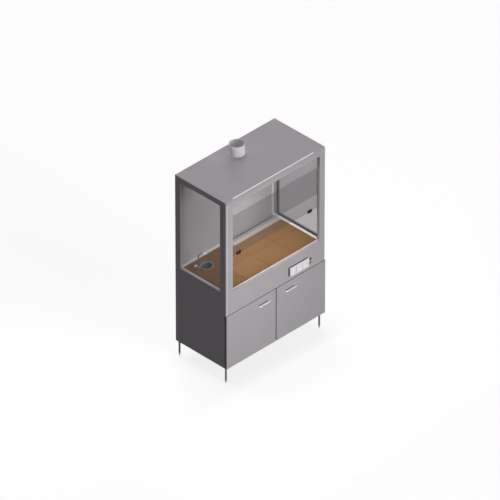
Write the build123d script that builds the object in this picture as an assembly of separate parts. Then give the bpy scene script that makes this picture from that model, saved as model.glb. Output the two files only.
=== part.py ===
from build123d import *
import math
import os

os.makedirs("parts", exist_ok=True)

# A laboratory fume hood: a tiled, glazed working chamber on a two-door cabinet with four thin legs.
# All sizes are in millimetres. x runs left to right from the middle, z runs up from the floor,
# and every y below is counted back from the flat front face of the hood.

# Overall size of the case
width = 1200
depth = 620
case_top = 1900
case_bottom = 167
worktop_level = 930
board = 25
sheet = 2

# Front frame, one folded steel sheet round the working opening
column_width = 75
frame_depth = 25
fascia_bottom = 727
sill_level = 955
head_level = 1843
top_roll = 35
corner_roll = 18
flange_depth = 55
flange_drop = 25
fixing_lip = 20

# Roof tray and exhaust collar
roof_lip = 20
collar_radius = 69
collar_wall = 2.5
collar_height = 100
collar_rear_margin = 141
collar_flange_width = 5
collar_flange_thick = 3
collar_tail = 15
collar_clearance = 0.5

# Lamp set into the top front edge
strip_width = 8
strip_left_margin = 97
strip_right_margin = 129
strip_y = 22
strip_proud = 1.2
strip_clearance = 0.2
lamp_depth = 18
lamp_height = 33
lamp_wall = 2

# Side windows
window_front = 79
window_rear_margin = 62
window_bottom = 950
window_top = 1846
rebate = 12
glass_thick = 6
gasket_thick = 2
gasket_width = 10

# Back of the case
back_board = 12
liner_thick = 3
service_split = 905
corner_trim_width = 23
corner_trim_thick = 3

# Cabinet
floor_board = 18
rail_thick = 16
rail_height = 75

# Worktop
slab_thick = 25
tile_thick = 8
tiles_across = 4
tiles_deep = 2
left_tile_cut = 19
front_tile_cut = 15
joint_width = 3
joint_depth = 1
border_width = 22
border_height = 12
border_round = 2
edge_strip_thick = 6
edge_strip_rise = 1
tile_rear_margin = 43
plate_rear_margin = 128
slot_rear_margin = 32
slot_width = 22
slot_margin = 8

# Cup sink, strainer and drain
sink_joint_margin = 97
sink_rear_margin = 168
sink_rim_radius = 61
sink_rim_thick = 3
sink_top_radius = 52
sink_base_radius = 42
sink_depth = 100
sink_wall = 4
sink_clearance = 1
tail_radius = 20
tail_wall = 3
tail_length = 46
strainer_radius = 24
strainer_thick = 1.5
strainer_hole = 2.2
strainer_ring = 10.2
strainer_ring_holes = 6
trap_radius = 32
trap_height = 85
trap_neck = 26
trap_neck_height = 25
pipe_radius = 20
pipe_wall = 3
pipe_back = 100
pipe_bend = 45
pipe_below_floor = 5
spigot_length = 30
spigot_shoulder = 3
spigot_wall = 2
drain_spigot_radius = 16
fit_clearance = 0.3

# Tap
tap_beside_sink = 65
tap_behind_sink = 40
tap_flange_radius = 15
tap_flange_thick = 6
tap_body_radius = 11
tap_body_height = 45
tap_shank_radius = 9
tap_shank_length = 62
tap_nut_radius = 16
tap_nut_thick = 8
spout_radius = 6
spout_wall = 1.5
spout_top = 140
spout_turn = 150
spout_seat = 20
nozzle_length = 14
valve_level = 22
valve_radius = 9
valve_reach = 24
knob_radius = 11
knob_length = 20
knob_lobe = 4
knob_lobes = 5
knob_stem = 4
supply_radius = 7.5
supply_wall = 1.5
supply_spigot_radius = 5.5
running_clearance = 0.05

# Sash: two panes that slide one behind the other
pane_thick = 6
pane_bite = 12
pane_edge_round = 1
front_pane_y = 28
front_pane_bottom = 1293
front_pane_height = 414
rear_pane_y = 40
rear_pane_bottom = 1424
rear_pane_height = 466
guide_width = 27
guide_depth = 27
groove_play = 0.3
groove_end_play = 2
guide_hollow_wall = 2.5
guide_head_gap = 3
grip_side_margin = 95
grip_width = 46
grip_height = 28
grip_proud = 11
grip_hook = 3
grip_round = 3

# Doors
door_thick = 20
door_gap = 6
split_gap = 8
door_round = 1.5
pivot_inset = 10
pivot_radius = 4
pivot_length = 18
bracket_thick = 3
bracket_width = 16
bracket_length = 60
bracket_set_back = 4
bracket_play = 0.5
handle_x = 160
handle_z = 650
handle_length = 143
handle_radius = 5
handle_proud = 30
handle_bend = 12
handle_foot_radius = 7
handle_foot_thick = 2
catch_x = 45
catch_width = 46
catch_depth = 22
catch_height = 14
catch_play = 0.5
strike_width = 38
strike_height = 16
strike_thick = 1.5

# Sockets, button and lamp on the fascia
socket_side_margin = 337.5
socket_z = 818.5
socket_pitch = 76.5
socket_count = 3
socket_gap = 3
socket_height = 85
socket_proud = 24
socket_base = 14
socket_round = 3
well_radius = 19.5
well_depth = 5
well_wall = 3
pin_spacing = 19
pin_radius = 2.4
pin_depth = 12
switch_beside_socket = 154.5
button_z = 824
lamp_z = 786
bezel_radius = 12
bezel_proud = 3
bezel_round = 1
plunger_round = 1.5
barrel_radius = 10
barrel_depth = 18
plunger_radius = 8.35
plunger_proud = 7
plunger_depth = 8
contact_size = 22
contact_thick = 6

# Legs and feet
leg_radius = 9
leg_wall = 1.5
leg_inset_side = 31
leg_inset_front = 41
leg_inset_back = 13
leg_bottom = 20
leg_flange_radius = 12
leg_flange_thick = 3
plug_length = 45
foot_stem = 4
foot_rise = 35
foot_radius = 8
foot_thick = 5
foot_round = 1

# Cable gland in the cabinet floor
gland_side_margin = 120
gland_rear_margin = 75
gland_radius = 14
gland_bore = 5
gland_thread = 10
gland_nut_thick = 8
gland_drop = 20

# Values worked out from the sizes above
half = width / 2
inner = half - board
front_y = (handle_proud - depth) / 2
opening_half = half - column_width
roof_under = case_top - flange_drop
collar_y = depth - collar_rear_margin
window_back = depth - window_rear_margin
liner_front = depth - back_board - liner_thick
slab_top = worktop_level - tile_thick
slab_bottom = slab_top - slab_thick
tile_half = inner - border_width
border_top = slab_top + border_height
tile_front = frame_depth + edge_strip_thick
tile_back = depth - tile_rear_margin
pitch_across = (2 * tile_half + joint_width + left_tile_cut) / tiles_across
pitch_deep = (tile_back - tile_front + joint_width + front_tile_cut) / tiles_deep
plate_left_x = tile_half - 2 * pitch_across
plate_start_y = depth - plate_rear_margin
slot_back = depth - slot_rear_margin
slot_front = slot_back - slot_width
sink_x = tile_half - (tiles_across - 1) * pitch_across - sink_joint_margin
sink_y = depth - sink_rear_margin
tap_x = sink_x - tap_beside_sink
tap_y = sink_y + tap_behind_sink
socket_x = half - socket_side_margin
switch_x = socket_x + switch_beside_socket
grip_x = opening_half - grip_side_margin
gland_x = half - gland_side_margin
gland_y = depth - gland_rear_margin
pane_half = inner - guide_width + pane_bite
door_top = fascia_bottom - door_gap
door_bottom = case_bottom + bracket_play
floor_top = case_bottom + floor_board


def block(x_low, x_high, y_low, y_high, z_low, z_high):
    """A rectangular solid between its limits, with y counted back from the front face."""
    size = (x_high - x_low, y_high - y_low, z_high - z_low)
    middle = ((x_low + x_high) / 2, front_y + (y_low + y_high) / 2, (z_low + z_high) / 2)
    return Pos(*middle) * Box(*size)


def post(x, y, z_low, z_high, radius):
    """A vertical round solid."""
    height = z_high - z_low
    return Pos(x, front_y + y, z_low + height / 2) * Cylinder(radius, height)


def boss(x, z, y_low, y_high, radius):
    """A round solid that runs from front to back."""
    length = y_high - y_low
    return Pos(x, front_y + y_low + length / 2, z) * Rot(90, 0, 0) * Cylinder(radius, length)


def arm(y, z, x_low, x_high, radius):
    """A round solid that runs from left to right."""
    length = x_high - x_low
    return Pos(x_low + length / 2, front_y + y, z) * Rot(0, 90, 0) * Cylinder(radius, length)


def turned(x, y, points):
    """A solid of revolution about a vertical axis, from points of radius and height."""
    outline = make_face(Polyline(*[(radius, 0, z) for radius, z in points], close=True))
    return Pos(x, front_y + y, 0) * revolve(outline, Axis.Z)


def swept_tube(path, outer_radius, inner_radius):
    """A round tube along a path, open at both ends."""
    start = Plane(origin=path @ 0, z_dir=path % 0)
    return sweep(start * Circle(outer_radius), path=path) - sweep(start * Circle(inner_radius), path=path)


def mirrored(solid):
    """The same piece for the other side of the hood."""
    return mirror(solid, about=Plane.YZ)


def save(node, *solids):
    """Write one node, as one solid or as a group of separate solids."""
    shape = solids[0] if len(solids) == 1 else Compound(list(solids))
    export_step(shape, f"parts/{node}.step")


# Front frame: a hollow folded sheet with a rolled top edge and rolled front corners


def frame_form(inset, back):
    """The frame's outer form, drawn in by an inset, with its top flange reaching to a given depth."""
    top = case_top - inset
    bottom = fascia_bottom + inset
    open_back = frame_depth + inset
    points = [
        (0, front_y + inset, bottom),
        (0, front_y + inset, top),
        (0, front_y + back, top),
        (0, front_y + back, roof_under - inset),
        (0, front_y + open_back, roof_under - inset),
        (0, front_y + open_back, bottom),
    ]
    profile = make_face(Polyline(*points, close=True))
    solid = extrude(profile, amount=half - inset, dir=(1, 0, 0), both=True)
    roll_edge = solid.edges().filter_by(Axis.X).group_by(Axis.Z)[-1].sort_by(Axis.Y)[0]
    solid = fillet(roll_edge, top_roll - inset)
    plan = block(-half + inset, half - inset, inset, flange_depth, bottom, case_top)
    corners = plan.edges().filter_by(Axis.Z).group_by(Axis.Y)[0]
    return solid & fillet(corners, corner_roll - inset)


strip_start = -half + strip_left_margin
strip_end = half - strip_right_margin
strip_front = strip_y - strip_width / 2
strip_back = strip_y + strip_width / 2


def make_front_frame():
    """The one-piece steel frame: columns, head with its top flange, sill and fascia."""
    opening = block(-opening_half, opening_half, -1, frame_depth + 1, sill_level, head_level)
    surround = block(
        -opening_half - sheet, opening_half + sheet,
        0, frame_depth,
        sill_level - sheet, head_level + sheet,
    )
    hollow = frame_form(sheet, flange_depth - sheet) - surround
    frame = frame_form(0, flange_depth) - hollow
    for side in (-1, 1):
        edge = side * (half - sheet)
        lip_inner = side * (half - sheet - fixing_lip)
        frame += block(
            min(edge, lip_inner), max(edge, lip_inner),
            frame_depth - sheet, frame_depth,
            fascia_bottom, roof_under,
        )
    slot = block(
        strip_start - strip_clearance, strip_end + strip_clearance,
        strip_front - strip_clearance, strip_back + strip_clearance,
        case_top - top_roll, case_top + 1,
    )
    frame = frame - opening - slot
    for z in (button_z, lamp_z):
        frame -= boss(switch_x, z, -1, frame_depth, barrel_radius)
    return frame


save("front_frame", make_front_frame())

# Roof: a folded tray with a hole for the exhaust collar


def make_roof():
    """The roof tray, open below inside its seating lip."""
    outer = block(-half, half, flange_depth, depth, roof_under, case_top)
    hollow = block(
        -half + sheet, half - sheet,
        flange_depth + sheet, depth - sheet,
        roof_under + sheet, case_top - sheet,
    )
    under = block(
        -half + sheet + roof_lip, half - sheet - roof_lip,
        flange_depth + sheet + roof_lip, depth - sheet - roof_lip,
        roof_under - 1, roof_under + sheet + 1,
    )
    hole = post(0, collar_y, roof_under, case_top + 1, collar_radius + collar_clearance)
    return outer - hollow - under - hole


def make_collar():
    """The exhaust collar: a white tube whose flange rests on the roof and whose tail goes through it."""
    top = case_top + collar_height
    flange_top = case_top + collar_flange_thick
    flange_radius = collar_radius + collar_flange_width
    bore = collar_radius - collar_wall
    low = case_top - sheet - collar_tail
    points = [
        (bore, low),
        (collar_radius, low),
        (collar_radius, case_top),
        (flange_radius, case_top),
        (flange_radius, flange_top),
        (collar_radius, flange_top),
        (collar_radius, top),
        (bore, top),
    ]
    return turned(0, collar_y, points)


save("roof_panel", make_roof())
save("exhaust_collar", make_collar())

# Lamp: a closed channel in the head of the frame, with a narrow diffuser that shows on top


def make_lamp_body():
    """The lamp's aluminium channel, standing on the frame's head return."""
    back = strip_back + strip_clearance
    bottom = head_level + sheet
    top = bottom + lamp_height
    outer = block(strip_start, strip_end, back - lamp_depth, back, bottom, top)
    hollow = block(
        strip_start - 1, strip_end + 1,
        back - lamp_depth + lamp_wall, back - lamp_wall,
        bottom + lamp_wall, top - lamp_wall,
    )
    return outer - hollow


def make_light_strip():
    """The opal diffuser, standing just proud of the rolled edge."""
    roll_rise = math.sqrt(top_roll**2 - (top_roll - strip_y) ** 2)
    top = case_top - top_roll + roll_rise + strip_proud
    bottom = head_level + sheet + lamp_height
    strip = block(strip_start, strip_end, strip_front, strip_back, bottom, top)
    return fillet(strip.edges().group_by(Axis.Z)[-1], strip_proud / 2)


save("lamp_body", make_lamp_body())
save("light_strip", make_light_strip())

# Side walls with their windows


def make_side_panel():
    """The left side board, full height, with a window that is rebated on the inner face."""
    panel = block(-half, -inner, frame_depth, depth, case_bottom, roof_under)
    window = block(-half - 1, -inner + 1, window_front, window_back, window_bottom, window_top)
    seat = block(
        -inner - glass_thick - gasket_thick, -inner + 1,
        window_front - rebate, window_back + rebate,
        window_bottom - rebate, window_top + rebate,
    )
    return panel - window - seat


def make_side_glass():
    """The left pane, flush with the inner face of the wall."""
    return block(
        -inner - glass_thick, -inner,
        window_front - rebate, window_back + rebate,
        window_bottom - rebate, window_top + rebate,
    )


def make_side_gasket():
    """The rubber ring between the left pane and its rebate."""
    outside = -inner - glass_thick - gasket_thick
    ring = block(
        outside, -inner - glass_thick,
        window_front - rebate, window_back + rebate,
        window_bottom - rebate, window_top + rebate,
    )
    clear = rebate - gasket_width
    middle = block(
        outside - 1, -inner,
        window_front - clear, window_back + clear,
        window_bottom - clear, window_top + clear,
    )
    return ring - middle


for name, make in (("side_panel", make_side_panel), ("side_glass", make_side_glass)):
    left_piece = make()
    save(f"{name}_left", left_piece)
    save(f"{name}_right", mirrored(left_piece))
gasket = make_side_gasket()
save("side_gaskets", gasket, mirrored(gasket))

# Back boards, white liner and corner trims
back_front = depth - back_board
save("lower_back_panel", block(-inner, inner, back_front, depth, case_bottom, service_split))
save("upper_back_panel", block(-inner, inner, back_front, depth, service_split, roof_under))
save("back_liner", block(-inner, inner, liner_front, back_front, slab_top, roof_under))
corner_trim = block(
    -inner, -inner + corner_trim_width,
    liner_front - corner_trim_thick, liner_front,
    border_top, roof_under,
)
trim_edge = corner_trim.edges().filter_by(Axis.Z).group_by(Axis.Y)[0].sort_by(Axis.X)[-1]
corner_trim = fillet(trim_edge, corner_trim_thick / 2)
save("corner_trims", corner_trim, mirrored(corner_trim))

# Cabinet floor and the rails that carry the worktop


def make_floor():
    """The cabinet floor, with holes for the drain, the water pipe and the cable gland."""
    floor = block(-inner, inner, frame_depth, back_front, case_bottom, floor_top)
    floor -= post(sink_x, sink_y + pipe_back, case_bottom - 1, floor_top + 1, pipe_radius + fit_clearance)
    floor -= post(tap_x, tap_y, case_bottom - 1, floor_top + 1, supply_radius + fit_clearance)
    floor -= post(gland_x, gland_y, case_bottom - 1, floor_top + 1, gland_thread)
    return floor


rail_bottom = slab_bottom - rail_height
save("cabinet_floor", make_floor())
save("front_rail", block(-inner, inner, frame_depth, frame_depth + rail_thick, rail_bottom, slab_bottom))
save("rear_rail", block(-inner, inner, back_front - rail_thick, back_front, rail_bottom, slab_bottom))

# Worktop: slab, tiles, grout, border strips, rear plate and its slot
slot_left = plate_left_x + slot_margin
slot_right = tile_half - slot_margin


def sink_hole():
    """The round hole for the cup sink, through tiles and slab."""
    radius = sink_top_radius + sink_wall + sink_clearance
    return post(sink_x, sink_y, slab_bottom - 1, worktop_level + 1, radius)


def tap_hole():
    """The hole for the tap's shank, through tiles and slab."""
    return post(tap_x, tap_y, slab_bottom - 1, worktop_level + 1, tap_shank_radius + fit_clearance)


def make_slab():
    """The board under the tiles, with the sink and tap holes and the rear air slot."""
    slab = block(-inner, inner, frame_depth, back_front, slab_bottom, slab_top)
    slot = block(slot_left, slot_right, slot_front, slot_back, slab_bottom - 1, slab_top + 1)
    return slab - sink_hole() - tap_hole() - slot


def make_tiles():
    """Tiles are laid from the rear right corner, and the left and front ones are cut to fit."""
    tiles = []
    for column in range(tiles_across):
        right = tile_half - column * pitch_across
        left = max(right - pitch_across + joint_width, -tile_half)
        for row in range(tiles_deep):
            back = tile_back - row * pitch_deep
            front = max(back - pitch_deep + joint_width, tile_front)
            tile = block(left, right, front, back, slab_top, worktop_level)
            tile = chamfer(tile.edges().group_by(Axis.Z)[-1], joint_depth)
            tiles.append(tile)
    rear_area = block(plate_left_x, inner, plate_start_y, depth, slab_top - 1, worktop_level + 1)
    return [tile - rear_area - sink_hole() - tap_hole() for tile in tiles]


def make_grout(tiles):
    """The grout that fills the joints, a little lower than the tiles."""
    grout = block(
        -tile_half, tile_half,
        tile_front, tile_back,
        slab_top, worktop_level - joint_depth,
    )
    grout -= block(plate_left_x, inner, plate_start_y, depth, slab_top - 1, worktop_level + 1)
    for tile in tiles:
        grout -= tile
    return grout - sink_hole() - tap_hole()


def make_border():
    """The left white strip between the tiles and the wall, with a rounded inner edge."""
    strip = block(-inner, -tile_half, frame_depth, liner_front, slab_top, border_top)
    edge = strip.edges().filter_by(Axis.Y).group_by(Axis.Z)[-1].sort_by(Axis.X)[-1]
    return fillet(edge, border_round)


def make_edge_strip():
    """The white landing strip behind the sill, on which the closed sash comes down."""
    reach_side = inner - guide_width
    strip = block(
        -reach_side, reach_side,
        frame_depth, tile_front,
        slab_top, sill_level + edge_strip_rise,
    )
    return fillet(strip.edges().filter_by(Axis.X).group_by(Axis.Z)[-1], edge_strip_rise / 2)


def make_rear_fill():
    """The white strip behind the tiles on the left, up to the liner."""
    return block(-tile_half, plate_left_x, tile_back, liner_front, slab_top, worktop_level)


tiles = make_tiles()
border = make_border()
save("worktop_slab", make_slab())
save("worktop_tiles", *tiles)
save("tile_grout", make_grout(tiles))
save("border_strips", border, mirrored(border))
save("sash_landing_strip", make_edge_strip())
save("rear_tile_strip", make_rear_fill())
save("rear_slot_plate", block(plate_left_x, tile_half, plate_start_y, slot_front, slab_top, worktop_level))

# Cup sink with strainer, bottle trap and drain pipe
sink_floor = worktop_level - sink_depth
tail_end = sink_floor - sink_wall - tail_length
tail_bore = tail_radius - tail_wall


def make_sink():
    """The moulded cup sink: rim, tapered cup and tail."""
    rim_top = worktop_level + sink_rim_thick
    points = [
        (tail_bore, tail_end),
        (tail_radius, tail_end),
        (tail_radius, sink_floor - sink_wall),
        (sink_base_radius + sink_wall, sink_floor - sink_wall),
        (sink_top_radius + sink_wall, worktop_level),
        (sink_rim_radius, worktop_level),
        (sink_rim_radius, rim_top),
        (sink_top_radius, rim_top),
        (sink_base_radius, sink_floor),
        (tail_bore, sink_floor),
    ]
    return turned(sink_x, sink_y, points)


def make_strainer():
    """The loose strainer disc, with a ring of drain holes round a middle one."""
    disc = post(sink_x, sink_y, sink_floor, sink_floor + strainer_thick, strainer_radius)
    step = 360 // strainer_ring_holes
    places = [(0, 0)] + [
        (strainer_ring * math.cos(math.radians(turn)), strainer_ring * math.sin(math.radians(turn)))
        for turn in range(0, 360, step)
    ]
    for x, y in places:
        disc -= post(sink_x + x, sink_y + y, sink_floor - 1, sink_floor + strainer_thick + 1, strainer_hole)
    return disc


trap_top = tail_end + trap_neck_height
trap_shoulder = tail_end - sink_wall
trap_bottom = trap_shoulder - trap_height
outlet_z = (trap_shoulder + trap_bottom) / 2
outlet_boss = trap_radius + trap_neck / 2


def make_trap():
    """The bottle trap, with a neck round the sink's tail and a side outlet."""
    body = post(sink_x, sink_y, trap_bottom, trap_shoulder, trap_radius)
    body += post(sink_x, sink_y, trap_shoulder, trap_top, trap_neck)
    body += boss(sink_x, outlet_z, sink_y, sink_y + outlet_boss, pipe_radius + pipe_wall)
    body -= post(sink_x, sink_y, trap_bottom + pipe_wall, trap_shoulder - pipe_wall, trap_radius - pipe_wall)
    body -= post(sink_x, sink_y, trap_bottom + pipe_wall, tail_end, tail_bore)
    body -= post(sink_x, sink_y, tail_end, trap_top + 1, tail_radius + fit_clearance)
    wall_y = sink_y + trap_radius
    body -= boss(sink_x, outlet_z, sink_y, wall_y, pipe_radius - pipe_wall)
    return body - boss(sink_x, outlet_z, wall_y, sink_y + outlet_boss + 1, pipe_radius + fit_clearance)


def make_spigot(x, y, radius, shoulder_radius):
    """A hose spigot under the cabinet floor, on a shoulder that closes in the pipe above it."""
    shoulder = case_bottom - pipe_below_floor
    low = shoulder - spigot_length
    spigot = post(x, y, low, shoulder, radius)
    spigot += post(x, y, shoulder, shoulder + spigot_shoulder, shoulder_radius)
    return spigot - post(x, y, low - 1, shoulder + spigot_shoulder + 1, radius - spigot_wall)


def make_waste_pipe():
    """The drain pipe, back from the trap and down through the cabinet floor to its hose spigot."""
    y_start = front_y + sink_y + trap_radius
    y_down = front_y + sink_y + pipe_back
    points = [
        (sink_x, y_start, outlet_z),
        (sink_x, y_down, outlet_z),
        (sink_x, y_down, case_bottom - pipe_below_floor),
    ]
    path = FilletPolyline(*points, radius=pipe_bend)
    pipe = swept_tube(path, pipe_radius, pipe_radius - pipe_wall)
    return pipe + make_spigot(sink_x, sink_y + pipe_back, drain_spigot_radius, pipe_radius)


save("cup_sink", make_sink())
save("sink_strainer", make_strainer())
save("waste_trap", make_trap())
save("waste_pipe", make_waste_pipe())

# Tap: body with side valve, fixing nut, swan-neck spout, knob and supply pipe
valve_z = worktop_level + valve_level
body_top = worktop_level + tap_body_height
shank_end = worktop_level - tap_shank_length
reach_x = sink_x - tap_x
reach_y = sink_y - tap_y
reach = math.hypot(reach_x, reach_y)
spout_bend = reach / (1 - math.cos(math.radians(spout_turn)))


def make_tap_body():
    """The tap body with its flange, shank and side valve stub."""
    body = post(tap_x, tap_y, shank_end, worktop_level, tap_shank_radius)
    flange = post(tap_x, tap_y, worktop_level, worktop_level + tap_flange_thick, tap_flange_radius)
    body += fillet(flange.edges().group_by(Axis.Z)[-1], tap_flange_thick / 2)
    body += post(tap_x, tap_y, worktop_level, body_top, tap_body_radius)
    body += arm(tap_y, valve_z, tap_x - valve_reach, tap_x, valve_radius)
    body -= post(tap_x, tap_y, body_top - spout_seat, body_top + 1, spout_radius + running_clearance)
    body -= post(tap_x, tap_y, shank_end - 1, body_top - spout_seat, spout_radius - spout_wall)
    stem_bore = knob_stem + running_clearance
    return body - arm(tap_y, valve_z, tap_x - valve_reach - 1, tap_x - spout_radius, stem_bore)


def make_tap_nut():
    """The hexagon nut that holds the tap under the slab."""
    nut = extrude(RegularPolygon(tap_nut_radius, 6), amount=-tap_nut_thick)
    nut = Pos(tap_x, front_y + tap_y, slab_bottom) * nut
    return nut - post(tap_x, tap_y, slab_bottom - tap_nut_thick - 1, slab_bottom + 1, tap_shank_radius)


def make_spout():
    """The swan-neck spout, turned towards the sink, with a tapered hose nozzle."""
    facing = (reach_x / reach, reach_y / reach, 0)
    across = (facing[1], -facing[0], 0)
    upright = Plane(origin=(tap_x, front_y + tap_y, 0), x_dir=facing, z_dir=across)
    bottom = body_top - spout_seat + running_clearance
    bend_start = worktop_level + spout_top - spout_radius - spout_bend
    rise = Line((0, bottom), (0, bend_start))
    bend = JernArc(start=(0, bend_start), tangent=(0, 1), radius=spout_bend, arc_size=-spout_turn)
    path = upright * Wire([rise.edge(), bend.edge()])
    spout = swept_tube(path, spout_radius, spout_radius - spout_wall)
    tip = Plane(origin=path @ 1, z_dir=path % 1)
    nozzle = Cone(spout_radius, spout_radius - spout_wall, nozzle_length)
    nozzle -= Cylinder(spout_radius - 2 * spout_wall, nozzle_length)
    return spout + tip * Pos(0, 0, nozzle_length / 2) * nozzle


def make_knob():
    """The lobed valve knob on its stem."""
    knob_back = tap_x - valve_reach - fit_clearance
    knob_front = knob_back - knob_length
    knob = arm(tap_y, valve_z, knob_front, knob_back, knob_radius - knob_lobe / 2)
    for turn in range(0, 360, 360 // knob_lobes):
        lobe_y = tap_y + (knob_radius - knob_lobe) * math.cos(math.radians(turn))
        lobe_z = valve_z + (knob_radius - knob_lobe) * math.sin(math.radians(turn))
        knob += arm(lobe_y, lobe_z, knob_front, knob_back, knob_lobe)
    return knob + arm(tap_y, valve_z, knob_back, tap_x - tap_body_radius, knob_stem)


def make_supply_pipe():
    """The water pipe from the tap's shank down through the cabinet floor to its hose spigot."""
    bottom = case_bottom - pipe_below_floor
    pipe = post(tap_x, tap_y, bottom, shank_end, supply_radius)
    pipe -= post(tap_x, tap_y, bottom - 1, shank_end + 1, supply_radius - supply_wall)
    return pipe + make_spigot(tap_x, tap_y, supply_spigot_radius, supply_radius)


save("tap_body", make_tap_body())
save("tap_nut", make_tap_nut())
save("tap_spout", make_spout())
save("tap_knob", make_knob())
save("supply_pipe", make_supply_pipe())

# Sash: two glass panes in grooved guides, with two finger grips


def make_guide():
    """The left aluminium guide, with one groove for each pane and a hollow back."""
    bottom = border_top
    top = case_top - sheet - guide_head_gap
    guide = block(-inner, -inner + guide_width, frame_depth, frame_depth + guide_depth, bottom, top)
    groove_floor = -pane_half - groove_end_play
    for pane_y in (front_pane_y, rear_pane_y):
        guide -= block(
            groove_floor, -inner + guide_width + 1,
            pane_y - groove_play, pane_y + pane_thick + groove_play,
            bottom - 1, top + 1,
        )
    hollow = block(
        -inner + guide_hollow_wall, groove_floor - guide_hollow_wall,
        frame_depth + guide_hollow_wall, frame_depth + guide_depth - guide_hollow_wall,
        bottom - 1, top + 1,
    )
    return guide - hollow


def make_pane(y, bottom, height):
    """A sash pane with ground edges."""
    pane = block(-pane_half, pane_half, y, y + pane_thick, bottom, bottom + height)
    return chamfer(pane.edges().filter_by(Axis.X), pane_edge_round)


def make_grip(x):
    """A finger grip on the lower edge of the front pane, hooked under the glass."""
    bottom = front_pane_bottom - grip_hook
    front = front_pane_y - grip_proud
    grip = block(x - grip_width / 2, x + grip_width / 2, front, front_pane_y, bottom, bottom + grip_height)
    grip = fillet(grip.edges().group_by(Axis.Y)[0], grip_round)
    hook = block(
        x - grip_width / 2, x + grip_width / 2,
        front_pane_y, front_pane_y + pane_thick,
        bottom, front_pane_bottom,
    )
    return grip + hook


guide_left = make_guide()
save("sash_guide_left", guide_left)
save("sash_guide_right", mirrored(guide_left))
save("sash_front_pane", make_pane(front_pane_y, front_pane_bottom, front_pane_height))
save("sash_rear_pane", make_pane(rear_pane_y, rear_pane_bottom, rear_pane_height))
save("sash_grips", make_grip(-grip_x), make_grip(grip_x))

# Doors on pivot pins, with bow handles, catches and strike plates
pivot_x = half - pivot_inset
pivot_y = door_thick / 2


def pivot_holes():
    """The two blind bores for the left door's pivot pins."""
    radius = pivot_radius + running_clearance
    deep = pivot_length + bracket_play
    low = post(-pivot_x, pivot_y, door_bottom - 1, door_bottom + deep, radius)
    high = post(-pivot_x, pivot_y, door_top - deep, door_top + 1, radius)
    return low, high


def make_door():
    """The left door board, with slightly rounded edges and its pivot bores."""
    door = block(-half, -split_gap / 2, 0, door_thick, door_bottom, door_top)
    door = fillet(door.edges().group_by(Axis.Y)[0], door_round)
    low, high = pivot_holes()
    return door - low - high


def make_low_bracket():
    """The left door's lower bracket, screwed under the side board, with its pin."""
    plate = block(
        -pivot_x - bracket_width / 2, -pivot_x + bracket_width / 2,
        bracket_set_back, bracket_set_back + bracket_length,
        case_bottom - bracket_thick, case_bottom,
    )
    return plate + post(-pivot_x, pivot_y, case_bottom, door_bottom + pivot_length, pivot_radius)


def make_high_bracket():
    """The left door's upper bracket, screwed under the fascia's bottom fold, with its pin."""
    plate = block(
        -pivot_x - bracket_width / 2, -pivot_x - bracket_width / 2 + bracket_length,
        bracket_set_back, frame_depth - sheet,
        fascia_bottom - bracket_thick, fascia_bottom,
    )
    pin_top = fascia_bottom - bracket_thick
    return plate + post(-pivot_x, pivot_y, door_top - pivot_length, pin_top, pivot_radius)


def make_handle():
    """A bow handle, bent from one rod, with a round foot at each end."""
    ends = handle_length / 2 - handle_radius
    bar_y = handle_radius - handle_proud
    points = [(-ends, 0, 0), (-ends, bar_y, 0), (ends, bar_y, 0), (ends, 0, 0)]
    path = FilletPolyline(*points, radius=handle_bend)
    start = Plane(origin=path @ 0, z_dir=path % 0)
    bow = sweep(start * Circle(handle_radius), path=path)
    place = Pos(-handle_x, front_y, handle_z)
    handle = place * bow
    for x in (-ends, ends):
        handle += boss(-handle_x + x, handle_z, -handle_foot_thick, 0, handle_foot_radius)
    return handle


low_bracket = make_low_bracket()
high_bracket = make_high_bracket()
door = make_door()
handle = make_handle()
catch = block(
    -catch_x - catch_width / 2, -catch_x + catch_width / 2,
    door_thick + strike_thick + catch_play, door_thick + strike_thick + catch_play + catch_depth,
    floor_top, floor_top + catch_height,
)
catch = fillet(catch.edges().group_by(Axis.Z)[-1], door_round)
strike_middle = floor_top + catch_height / 2
strike = block(
    -catch_x - strike_width / 2, -catch_x + strike_width / 2,
    door_thick, door_thick + strike_thick,
    strike_middle - strike_height / 2, strike_middle + strike_height / 2,
)
save("pivot_brackets", low_bracket, high_bracket, mirrored(low_bracket), mirrored(high_bracket))
save("door_catches", catch, mirrored(catch))
for name, piece in (("door", door), ("door_handle", handle), ("strike_plate", strike)):
    save(f"{name}_left", piece)
    save(f"{name}_right", mirrored(piece))

# Sockets on the fascia: one base box and three socket units
socket_half = socket_count * socket_pitch / 2
first_unit = socket_x - socket_half + socket_pitch / 2
unit_centres = [first_unit + index * socket_pitch for index in range(socket_count)]
well_outer = well_radius + well_wall


def make_socket_base():
    """The base box of the three sockets, open where each well goes in."""
    base = block(
        socket_x - socket_half, socket_x + socket_half,
        -socket_base, 0,
        socket_z - socket_height / 2, socket_z + socket_height / 2,
    )
    for x in unit_centres:
        base -= boss(x, socket_z, -socket_base - 1, 1, well_outer + fit_clearance)
    return base


def make_socket(x):
    """One socket unit: a front plate with a round well and two pin holes."""
    reach_side = (socket_pitch - socket_gap) / 2
    plate = block(
        x - reach_side, x + reach_side,
        -socket_proud, -socket_base,
        socket_z - socket_height / 2, socket_z + socket_height / 2,
    )
    plate = fillet(plate.edges().group_by(Axis.Y)[0], socket_round)
    plate += boss(x, socket_z, -socket_base, 0, well_outer)
    plate -= boss(x, socket_z, -socket_proud - 1, -socket_proud + well_depth, well_radius)
    for side in (-0.5, 0.5):
        bottom = -socket_proud + well_depth
        plate -= boss(x + side * pin_spacing, socket_z, bottom - 1, bottom + pin_depth, pin_radius)
    return plate


save("socket_base", make_socket_base())
for name, x in zip(("left", "middle", "right"), unit_centres):
    save(f"socket_{name}", make_socket(x))

# Push button and indicator lamp
bezel_bore = plunger_radius + running_clearance


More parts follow.
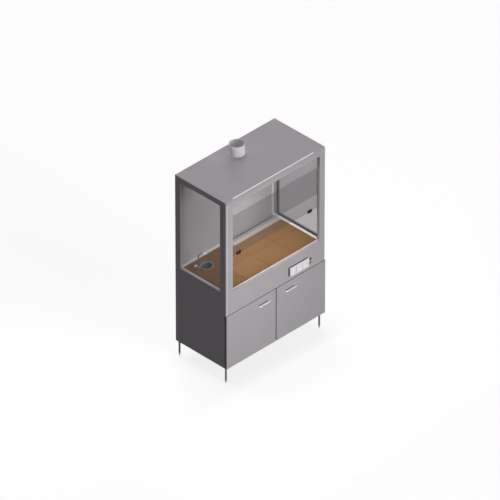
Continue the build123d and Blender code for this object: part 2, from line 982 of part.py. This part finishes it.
def make_bezel(z):
    """A bezel ring with its barrel through the fascia."""
    ring = boss(switch_x, z, -bezel_proud, 0, bezel_radius)
    ring = fillet(ring.edges().group_by(Axis.Y)[0], bezel_round)
    ring += boss(switch_x, z, 0, barrel_depth, barrel_radius)
    return ring - boss(switch_x, z, -bezel_proud - 1, barrel_depth + 1, bezel_bore)


def make_plunger(z):
    """A button or lens with a rounded front edge."""
    plunger = boss(switch_x, z, -plunger_proud, plunger_depth, plunger_radius)
    return fillet(plunger.edges().group_by(Axis.Y)[0], plunger_round)


def make_contact(z):
    """The contact block or lamp holder behind the fascia."""
    reach_side = contact_size / 2
    return block(
        switch_x - reach_side, switch_x + reach_side,
        barrel_depth, barrel_depth + contact_thick,
        z - reach_side, z + reach_side,
    )


save("switch_bezels", make_bezel(button_z), make_bezel(lamp_z))
save("push_button", make_plunger(button_z))
save("indicator_lens", make_plunger(lamp_z))
save("switch_contacts", make_contact(button_z), make_contact(lamp_z))

# Legs with screw-in levelling feet


def make_leg(x, y):
    """A thin tube leg with a top flange and a plug that is bored for the foot's stem."""
    leg = post(x, y, leg_bottom, case_bottom, leg_radius)
    leg += post(x, y, case_bottom - leg_flange_thick, case_bottom, leg_flange_radius)
    leg -= post(x, y, leg_bottom + plug_length, case_bottom + 1, leg_radius - leg_wall)
    return leg - post(x, y, leg_bottom - 1, leg_bottom + plug_length + 1, foot_stem + running_clearance)


def make_foot(x, y):
    """A levelling foot: a small round pad on a threaded stem."""
    pad = post(x, y, 0, foot_thick, foot_radius)
    pad = fillet(pad.edges().group_by(Axis.Z)[-1], foot_round)
    return pad + post(x, y, foot_thick, leg_bottom + foot_rise, foot_stem)


leg_x = half - leg_inset_side
leg_places = {
    "front_left": (-leg_x, leg_inset_front),
    "front_right": (leg_x, leg_inset_front),
    "rear_left": (-leg_x, depth - leg_inset_back),
    "rear_right": (leg_x, depth - leg_inset_back),
}
save("legs", *[make_leg(x, y) for x, y in leg_places.values()])
for name, (x, y) in leg_places.items():
    save(f"foot_{name}", make_foot(x, y))

# Cable gland in the cabinet floor


def make_gland():
    """The gland, with its thread through the floor and its dome nut below."""
    gland = post(gland_x, gland_y, case_bottom, floor_top, gland_thread)
    nut = post(gland_x, gland_y, floor_top, floor_top + gland_nut_thick, gland_radius)
    dome = post(gland_x, gland_y, case_bottom - gland_drop, case_bottom, gland_radius)
    dome = fillet(dome.edges().group_by(Axis.Z)[0], gland_bore)
    gland += nut + dome
    low = case_bottom - gland_drop - 1
    return gland - post(gland_x, gland_y, low, floor_top + gland_nut_thick + 1, gland_bore)


save("cable_gland", make_gland())
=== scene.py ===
import bpy
import math
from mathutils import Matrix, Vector

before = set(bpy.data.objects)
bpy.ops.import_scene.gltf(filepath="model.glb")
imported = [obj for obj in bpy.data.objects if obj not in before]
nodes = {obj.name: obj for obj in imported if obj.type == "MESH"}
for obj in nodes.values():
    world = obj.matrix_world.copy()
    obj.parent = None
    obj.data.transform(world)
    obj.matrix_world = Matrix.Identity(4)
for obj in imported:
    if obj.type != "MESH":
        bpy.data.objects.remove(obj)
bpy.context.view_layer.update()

# The tiles' pitch, and the right and rear edges from which they are counted, in metres
TILE_PITCH = 0.282
TILE_RIGHT = 0.553
TILE_BACK = 0.282


def per_metre(millimetres):
    """Texture scale at which one grain of a pattern is this many millimetres wide."""
    return 1000 / millimetres


def linear(colour):
    """A written sRGB colour, such as B4B1B4, as the linear colour that a shader takes."""
    parts = [int(colour[place:place + 2], 16) / 255 for place in (0, 2, 4)]
    return [p / 12.92 if p <= 0.04045 else ((p + 0.055) / 1.055) ** 2.4 for p in parts] + [1]


def node(tree, kind, inputs=(), **settings):
    """Adds one node with its settings. An input is given a value, or is linked to an output."""
    made = tree.nodes.new(kind)
    for name, value in settings.items():
        setattr(made, name, value)
    for name, value in dict(inputs).items():
        if isinstance(value, bpy.types.NodeSocket):
            tree.links.new(value, made.inputs[name])
        else:
            made.inputs[name].default_value = value
    return made


def calculated(tree, operation, *values):
    """The result of one step of arithmetic on numbers and outputs."""
    return node(tree, "ShaderNodeMath", dict(enumerate(values)), operation=operation).outputs[0]


def mixed(tree, factor, first, second):
    """Two colours mixed by a factor. Each is written, or comes from an output."""
    ends = [linear(end) if isinstance(end, str) else end for end in (first, second)]
    return node(tree, "ShaderNodeMix", {0: factor, 6: ends[0], 7: ends[1]}, data_type="RGBA").outputs[2]


def direction(tree):
    """The way that the surface faces, with an output for each axis."""
    normal = node(tree, "ShaderNodeTexCoord").outputs["Normal"]
    return node(tree, "ShaderNodeSeparateXYZ", {0: normal}).outputs


def finish_of(name, **shader_values):
    """A new material with its shader's fixed values, its node tree and its object coordinates."""
    material = bpy.data.materials.new(name)
    material.use_nodes = True
    tree = material.node_tree
    shader = tree.nodes["Principled BSDF"]
    for socket, value in shader_values.items():
        shader.inputs[socket.replace("_", " ")].default_value = value
    coordinates = node(tree, "ShaderNodeTexCoord").outputs["Object"]
    return material, tree, shader, coordinates


def two_tone(tree, shader, factor, first, second):
    """Lets the surface vary between two colours. Each is written, or comes from an output."""
    tone = mixed(tree, factor, first, second)
    tree.links.new(tone, shader.inputs["Base Color"])
    return tone


def uneven_gloss(tree, shader, factor, smooth, rough):
    """Lets the roughness vary between two values."""
    spread = node(tree, "ShaderNodeMapRange", {"Value": factor, "To Min": smooth, "To Max": rough})
    tree.links.new(spread.outputs["Result"], shader.inputs["Roughness"])


def relief(tree, shader, height, millimetres, strength):
    """Raises the surface by a pattern, to this depth."""
    bump = node(tree, "ShaderNodeBump", {"Height": height, "Strength": strength,
                                         "Distance": millimetres / 1000})
    tree.links.new(bump.outputs["Normal"], shader.inputs["Normal"])


def noise(tree, coordinates, millimetres, detail=2.0, roughness=0.5):
    """A cloudy pattern with grains of this width."""
    return node(tree, "ShaderNodeTexNoise", {"Vector": coordinates, "Scale": per_metre(millimetres),
                                             "Detail": detail, "Roughness": roughness}).outputs["Fac"]


def drawn_out(tree, coordinates, scale):
    """Coordinates on which a pattern is drawn out along each axis with a scale below one."""
    return node(tree, "ShaderNodeMapping", {"Vector": coordinates, "Scale": scale}).outputs["Vector"]


# Powder coat on folded steel: an even mid grey with the fine orange-peel skin of a baked powder.
# On the upright bends the grey is painted paler, a painted highlight where the eye sees a light edge.
powder_coat, tree, shader, place = finish_of(
    "grey powder-coated steel", IOR=1.5, Specular_IOR_Level=0.25)
coat = mixed(tree, noise(tree, place, 240, 3), "B2AEB2", "B9B6B9")
turn = direction(tree)
# Painted highlight: where the surface faces between front and side, on the upright bends, the grey is
# mixed towards a pale E6E4E6.
bend_for_highlight = calculated(tree, "ABSOLUTE", calculated(tree, "MULTIPLY", turn["X"], turn["Y"]))
painted_bend_highlight = node(tree, "ShaderNodeMapRange", {"Value": bend_for_highlight, "From Min": 0.15, "From Max": 0.45}).outputs[0]
two_tone(tree, shader, painted_bend_highlight, coat, "E6E4E6")
uneven_gloss(tree, shader, noise(tree, place, 60), 0.42, 0.52)
relief(tree, shader, noise(tree, place, 2.4, 1), 0.06, 0.5)


def pearl_board(name):
    """Melamine-faced board: flatter than the coat, with a faint pearl grain pressed into its face."""
    material, tree, shader, place = finish_of(name, IOR=1.5, Specular_IOR_Level=0.25)
    pearl = noise(tree, place, 3.5, 4, 0.6)
    face = two_tone(tree, shader, pearl, "AEABAE", "BAB7BA")
    uneven_gloss(tree, shader, pearl, 0.48, 0.58)
    relief(tree, shader, pearl, 0.04, 0.4)
    return material, tree, shader, pearl, face


melamine = pearl_board("grey melamine-faced board")[0]

# Doors of the same board, closed all round with a dark grey edge band, whose dark also paints the shade
# in the gaps around the doors
door_board_with_gap_shade, tree, shader, pearl, face = pearl_board("grey melamine door with dark edge band")
# Painted shade: every rim that does not face front or back takes the dark band colour, so the gaps read
# as shaded.
dark_band_and_gap_shade = mixed(tree, pearl, "454345", "4E4C4E")
facing = calculated(tree, "ABSOLUTE", direction(tree)["Y"])
two_tone(tree, shader, calculated(tree, "GREATER_THAN", facing, 0.6), dark_band_and_gap_shade, face)


def laminate(name, first, second, smooth, rough, shine):
    """High-pressure laminate: a smooth sheet with a hardly seen satin texture."""
    material, tree, shader, place = finish_of(name, IOR=1.5, Specular_IOR_Level=shine)
    two_tone(tree, shader, noise(tree, place, 180, 3), first, second)
    uneven_gloss(tree, shader, noise(tree, place, 30), smooth, rough)
    relief(tree, shader, noise(tree, place, 1.8, 1), 0.03, 0.4)
    return material


# Bright white for the strips, and a light grey for the chamber's back wall
white_laminate = laminate("white high-pressure laminate", "EFEDEF", "F5F4F5", 0.36, 0.46, 0.5)
wall_laminate = laminate("light grey laminate", "BDBABD", "C5C2C5", 0.40, 0.50, 0.3)

# Moulded thermoplastic of the sockets: clean white with a soft gloss
socket_plastic, tree, shader, place = finish_of("white moulded urea plastic", IOR=1.53)
two_tone(tree, shader, noise(tree, place, 25, 2), "F6F3F6", "FBF9FB")
uneven_gloss(tree, shader, noise(tree, place, 8), 0.22, 0.30)
relief(tree, shader, noise(tree, place, 1.5, 1), 0.02, 0.3)

# Moulded polypropylene of the exhaust collar: waxy white with faint draw lines up its wall
collar_plastic, tree, shader, place = finish_of("white moulded polypropylene", IOR=1.49)
lines = noise(tree, drawn_out(tree, place, (1, 1, 0.05)), 4, 2)
two_tone(tree, shader, lines, "ECEAEC", "F7F6F7")
uneven_gloss(tree, shader, lines, 0.30, 0.40)
relief(tree, shader, lines, 0.05, 0.4)

# Opal acrylic over the lamp: evenly lit milky white
opal, tree, shader, place = finish_of(
    "opal acrylic diffuser", IOR=1.49, Emission_Color=linear("FFFDFA"), Emission_Strength=0.2)
two_tone(tree, shader, noise(tree, place, 12, 2), "F4F3F2", "FDFCFB")
uneven_gloss(tree, shader, noise(tree, place, 5), 0.30, 0.40)


def tinted_glass(name, strength):
    """Grey safety glass: it dims what is behind it under a faint veil, and wiping has left marks."""
    material, tree, shader, place = finish_of(name, IOR=1.5, Alpha=strength, Specular_IOR_Level=0.25)
    smear = noise(tree, place, 90, 3, 0.6)
    two_tone(tree, shader, smear, "504C50", "5D595D")
    uneven_gloss(tree, shader, smear, 0.02, 0.07)
    return material


sash_glass = tinted_glass("grey safety glass of the sash", 0.20)
side_glass = tinted_glass("grey safety glass of the sides", 0.38)

# Glazing rubber: dull black with a dusty bloom
rubber, tree, shader, place = finish_of("black glazing rubber", IOR=1.52)
two_tone(tree, shader, noise(tree, place, 6, 3), "1B1A1B", "2A292A")
uneven_gloss(tree, shader, noise(tree, place, 3), 0.60, 0.75)
relief(tree, shader, noise(tree, place, 1.2), 0.05, 0.4)

# Acid-resistant stoneware: ochre tiles, each a slightly different firing, with dark iron specks
stoneware, tree, shader, place = finish_of("ochre glazed stoneware", IOR=1.55, Specular_IOR_Level=0.15)
counted = node(tree, "ShaderNodeMapping", {
    "Vector": place, "Location": (-TILE_RIGHT / TILE_PITCH, -TILE_BACK / TILE_PITCH, 0),
    "Scale": (1 / TILE_PITCH, 1 / TILE_PITCH, 0)}).outputs["Vector"]
number = node(tree, "ShaderNodeVectorMath", {0: counted}, operation="FLOOR").outputs["Vector"]
firing = node(tree, "ShaderNodeTexWhiteNoise", {"Vector": number}, noise_dimensions="3D").outputs["Value"]
cloud = noise(tree, place, 45, 4, 0.55)
mottle = calculated(tree, "ADD", firing, cloud)
tone = node(tree, "ShaderNodeMapRange", {"Value": mottle, "From Max": 2.0}).outputs["Result"]
body = mixed(tree, tone, "86623F", "926E49")
specks = node(tree, "ShaderNodeTexVoronoi", {"Vector": place, "Scale": per_metre(4)}).outputs["Distance"]
speck = node(tree, "ShaderNodeMapRange", {"Value": specks, "From Min": 0.10, "From Max": 0.22,
                                          "To Min": 0.5, "To Max": 0.0}).outputs["Result"]
two_tone(tree, shader, speck, body, "5B4024")
uneven_gloss(tree, shader, cloud, 0.38, 0.52)
relief(tree, shader, noise(tree, place, 14, 2), 0.15, 0.35)

# Resin grout: dark brown, matt and sandy
grout, tree, shader, place = finish_of("brown resin grout", IOR=1.5)
sand = noise(tree, place, 1.6, 3, 0.7)
two_tone(tree, shader, sand, "53391F", "70502F")
uneven_gloss(tree, shader, sand, 0.80, 0.95)
relief(tree, shader, sand, 0.2, 0.6)

# Grey polypropylene of the cup sink and its drain: waxy, a little worn by cleaning
sink_plastic, tree, shader, place = finish_of("grey moulded polypropylene", IOR=1.49)
cleaned = noise(tree, place, 18, 4, 0.6)
two_tone(tree, shader, cleaned, "8E9294", "9EA2A4")
uneven_gloss(tree, shader, cleaned, 0.32, 0.46)
relief(tree, shader, noise(tree, place, 2.5, 1), 0.04, 0.4)

# Light grey plate in front of the air slot: resin board with a fine grain
resin_plate, tree, shader, place = finish_of("light grey resin board", IOR=1.5)
grain = noise(tree, place, 2.2, 3, 0.6)
two_tone(tree, shader, grain, "BDB7AE", "C9C4BC")
uneven_gloss(tree, shader, grain, 0.45, 0.55)
relief(tree, shader, grain, 0.03, 0.4)


def bright_metal(name, first, second, smooth, rough, millimetres, stretch=(1, 1, 1), depth=0.01):
    """A bare metal with the marks that its making leaves, drawn out by a scale on each axis."""
    material, tree, shader, place = finish_of(name, Metallic=1.0)
    marks = noise(tree, drawn_out(tree, place, stretch), millimetres, 3)
    two_tone(tree, shader, marks, first, second)
    uneven_gloss(tree, shader, marks, smooth, rough)
    relief(tree, shader, marks, depth, 0.4)
    return material


anodised = bright_metal("satin anodised aluminium", "B4B4B6", "C6C6C8", 0.32, 0.45, 0.8, (0.01, 1, 1))
# Near-black anodised guides: a real dark finish whose colour also paints the shade in the jambs beside
# the sash.
dark_anodised_as_jamb_shade = bright_metal(
    "black anodised aluminium", "2C2A2C", "383638", 0.38, 0.50, 0.8, (1, 1, 0.01))
brushed_steel = bright_metal(
    "brushed stainless steel", "9A9A9C", "B0B0B2", 0.28, 0.42, 0.6, (1, 0.04, 1))
zinc_steel = bright_metal("zinc-plated steel", "A9ABAD", "C0C1C4", 0.25, 0.45, 7)
chrome = bright_metal("chromium-plated brass", "C2C4C8", "D2D4D7", 0.06, 0.14, 30, depth=0.004)
satin_handle = bright_metal(
    "satin nickel-plated steel", "DAD8DA", "EAE8EA", 0.24, 0.34, 0.7, (0.04, 1, 1))

# Painted steel tube of the legs: the grey of the case, a little darker and glossier
leg_paint, tree, shader, place = finish_of("grey enamelled steel tube", IOR=1.5)
two_tone(tree, shader, noise(tree, place, 35, 3), "807D80", "8B888B")
uneven_gloss(tree, shader, noise(tree, place, 12), 0.34, 0.44)
relief(tree, shader, noise(tree, place, 2.4, 1), 0.05, 0.4)


def moulded(name, first, second, smooth, rough, shine=0.5):
    """A small moulded piece, with the even fine spark-eroded skin of its mould."""
    material, tree, shader, place = finish_of(name, IOR=1.53, Specular_IOR_Level=shine)
    two_tone(tree, shader, noise(tree, place, 9, 3), first, second)
    uneven_gloss(tree, shader, noise(tree, place, 4), smooth, rough)
    relief(tree, shader, noise(tree, place, 0.9, 1), 0.03, 0.5)
    return material


grip_plastic = moulded("dark red-black phenolic grip", "241018", "30161E", 0.50, 0.60, 0.15)
knob_plastic = moulded("ivory moulded tap knob", "DDDAD2", "E8E5DD", 0.26, 0.36)
button_plastic = moulded("dark green push button", "1E4A1C", "285A25", 0.24, 0.34)
box_plastic = moulded("grey moulded surface box", "5A585A", "646264", 0.40, 0.50)
bezel_plastic = moulded("dark grey switch bezel", "343834", "404440", 0.38, 0.48)

# Yellow-green lamp lens: translucent acrylic, lit a little from behind
lens, tree, shader, place = finish_of(
    "yellow-green acrylic lens", IOR=1.49, Coat_Weight=0.5, Emission_Color=linear("7E9A10"),
    Emission_Strength=0.15)
two_tone(tree, shader, noise(tree, place, 5, 2), "6F8A12", "86A01C")
uneven_gloss(tree, shader, noise(tree, place, 3), 0.12, 0.2)

finishes = {
    powder_coat: ["front_frame", "roof_panel"],
    melamine: ["side_panel_left", "side_panel_right", "cabinet_floor", "front_rail", "rear_rail",
               "lower_back_panel", "upper_back_panel", "worktop_slab"],
    door_board_with_gap_shade: ["door_left", "door_right"],
    wall_laminate: ["back_liner"],
    white_laminate: ["corner_trims", "border_strips", "sash_landing_strip", "rear_tile_strip"],
    socket_plastic: ["socket_left", "socket_middle", "socket_right"],
    collar_plastic: ["exhaust_collar"],
    opal: ["light_strip"],
    anodised: ["lamp_body"],
    dark_anodised_as_jamb_shade: ["sash_guide_left", "sash_guide_right"],
    sash_glass: ["sash_front_pane", "sash_rear_pane"],
    side_glass: ["side_glass_left", "side_glass_right"],
    rubber: ["side_gaskets"],
    stoneware: ["worktop_tiles"],
    grout: ["tile_grout"],
    sink_plastic: ["cup_sink", "waste_trap", "waste_pipe"],
    resin_plate: ["rear_slot_plate"],
    brushed_steel: ["sink_strainer"],
    zinc_steel: ["pivot_brackets", "strike_plate_left", "strike_plate_right", "foot_front_left",
                 "foot_front_right", "foot_rear_left", "foot_rear_right", "supply_pipe"],
    chrome: ["tap_body", "tap_nut", "tap_spout"],
    satin_handle: ["door_handle_left", "door_handle_right"],
    leg_paint: ["legs"],
    grip_plastic: ["sash_grips"],
    knob_plastic: ["tap_knob"],
    button_plastic: ["push_button"],
    box_plastic: ["socket_base"],
    bezel_plastic: ["switch_bezels", "switch_contacts", "door_catches", "cable_gland"],
    lens: ["indicator_lens"],
}
for finish, names in finishes.items():
    for name in names:
        for slot in nodes[name].material_slots:
            slot.material = finish


def looked_at(tree):
    """One where the camera sees this, straight, mirrored or through glass, and elsewhere nothing."""
    rays = node(tree, "ShaderNodeLightPath").outputs
    straight_or_mirrored = calculated(tree, "MAXIMUM", rays["Is Camera Ray"], rays["Is Glossy Ray"])
    return calculated(tree, "MAXIMUM", straight_or_mirrored, rays["Is Transmission Ray"])


# Floor: plain and pale. The camera sees it as white with the hood's shadow, and it throws
# little light back, so that the side turned away from the lamp stays dark.
FLOOR_SIDE = 60
bpy.ops.object.select_all(action="DESELECT")
bpy.ops.mesh.primitive_plane_add(size=FLOOR_SIDE, location=(0, 0, 0))
floor = bpy.context.object
floor.name = "studio_floor"
floor_finish = bpy.data.materials.new("pale studio floor")
floor_finish.use_nodes = True
tree = floor_finish.node_tree
tree.nodes.remove(tree.nodes["Principled BSDF"])
dull = node(tree, "ShaderNodeBsdfDiffuse", {"Color": linear("5E5C5E")})
pale = node(tree, "ShaderNodeBsdfDiffuse", {"Color": linear("A8A6A8")})
glow = node(tree, "ShaderNodeEmission", {"Color": linear("FFFFFF"), "Strength": 0.78})
lit = node(tree, "ShaderNodeAddShader", {0: pale.outputs[0], 1: glow.outputs[0]})
both = node(tree, "ShaderNodeMixShader", {0: looked_at(tree), 1: dull.outputs[0], 2: lit.outputs[0]})
tree.links.new(both.outputs[0], tree.nodes["Material Output"].inputs["Surface"])
floor.data.materials.append(floor_finish)

# World: white where it is looked at, and a low even light on the hood
world = bpy.data.worlds.new("studio")
bpy.context.scene.world = world
world.use_nodes = True
tree = world.node_tree
level = node(tree, "ShaderNodeMapRange", {"Value": looked_at(tree), "To Min": 0.015, "To Max": 1.0})
tree.links.new(level.outputs["Result"], tree.nodes["Background"].inputs["Strength"])
tree.nodes["Background"].inputs["Color"].default_value = linear("FFFFFF")


def sun(name, towards, irradiance, spread, colour=(1.0, 1.0, 1.0)):
    """A broad soft light from far away, which comes from the given direction."""
    data = bpy.data.lights.new(name, "SUN")
    data.energy = irradiance * math.pi
    data.angle = math.radians(spread)
    data.color = colour
    lamp = bpy.data.objects.new(name, data)
    bpy.context.collection.objects.link(lamp)
    lamp.rotation_euler = Vector(towards).to_track_quat("Z", "Y").to_euler()


def panel(name, location, target, size, power, spread=180):
    """A soft box at a place, turned to a target, whose beam opens by the spread in degrees."""
    data = bpy.data.lights.new(name, "AREA")
    data.shape = "RECTANGLE"
    data.size, data.size_y = size
    data.energy = power
    data.spread = math.radians(spread)
    lamp = bpy.data.objects.new(name, data)
    bpy.context.collection.objects.link(lamp)
    lamp.location = location
    back = Vector(location) - Vector(target)
    lamp.rotation_euler = back.to_track_quat("Z", "Y").to_euler()


# The front is lit low from the front, most on its left, and the roof from above and behind.
# The left side gets next to nothing. The chamber has its own lamp behind the head, and a narrow
# beam picks out the collar.
sun("front light", (0.15, -0.97, 0.17), 0.58, 35)
sun("roof light", (0.05, 0.42, 0.86), 0.40, 50, (1.0, 0.95, 1.0))
sun("right light", (0.85, 0.45, 0.12), 0.35, 40)
panel("left front box", (-0.58, -2.0, 1.2), (-0.58, -0.3, 1.15), (0.4, 1.2), 9)
panel("chamber lamp", (0.0, -0.18, 1.86), (0.0, 0.08, 1.0), (1.0, 0.1), 5.0, spread=130)
panel("collar beam", (-1.1, -1.3, 2.10), (-0.24, 0.16, 2.02), (0.1, 0.1), 0.13, spread=12)

# Camera: the photograph's parallel view, from a long lens far away. Across the line of sight a
# metre takes this many of the picture's pixels. Lens and sensor are in millimetres.
IMAGE_WIDTH = 500
PIXELS_PER_METRE = 116.66
LENS = 700
SENSOR_WIDTH = 36
azimuth, elevation = math.radians(-45), math.radians(35.264)
back = Vector((math.sin(azimuth) * math.cos(elevation), -math.cos(azimuth) * math.cos(elevation),
               math.sin(elevation)))
aim = Vector((-0.0115, 0.0115, 0.9775))
distance = IMAGE_WIDTH / PIXELS_PER_METRE * LENS / SENSOR_WIDTH
camera_data = bpy.data.cameras.new("camera")
camera_data.lens = LENS
camera_data.sensor_width = SENSOR_WIDTH
camera_data.clip_start = 1
camera_data.clip_end = 300
camera = bpy.data.objects.new("camera", camera_data)
bpy.context.collection.objects.link(camera)
bpy.context.scene.camera = camera
camera.location = aim + back * distance
camera.rotation_euler = back.to_track_quat("Z", "Y").to_euler()

bpy.context.scene.view_settings.view_transform = "Standard"
# Rays pass up to eight tinted faces here. Dropping some by chance would make the panes grainy.
bpy.context.scene.cycles.min_transparent_bounces = 8
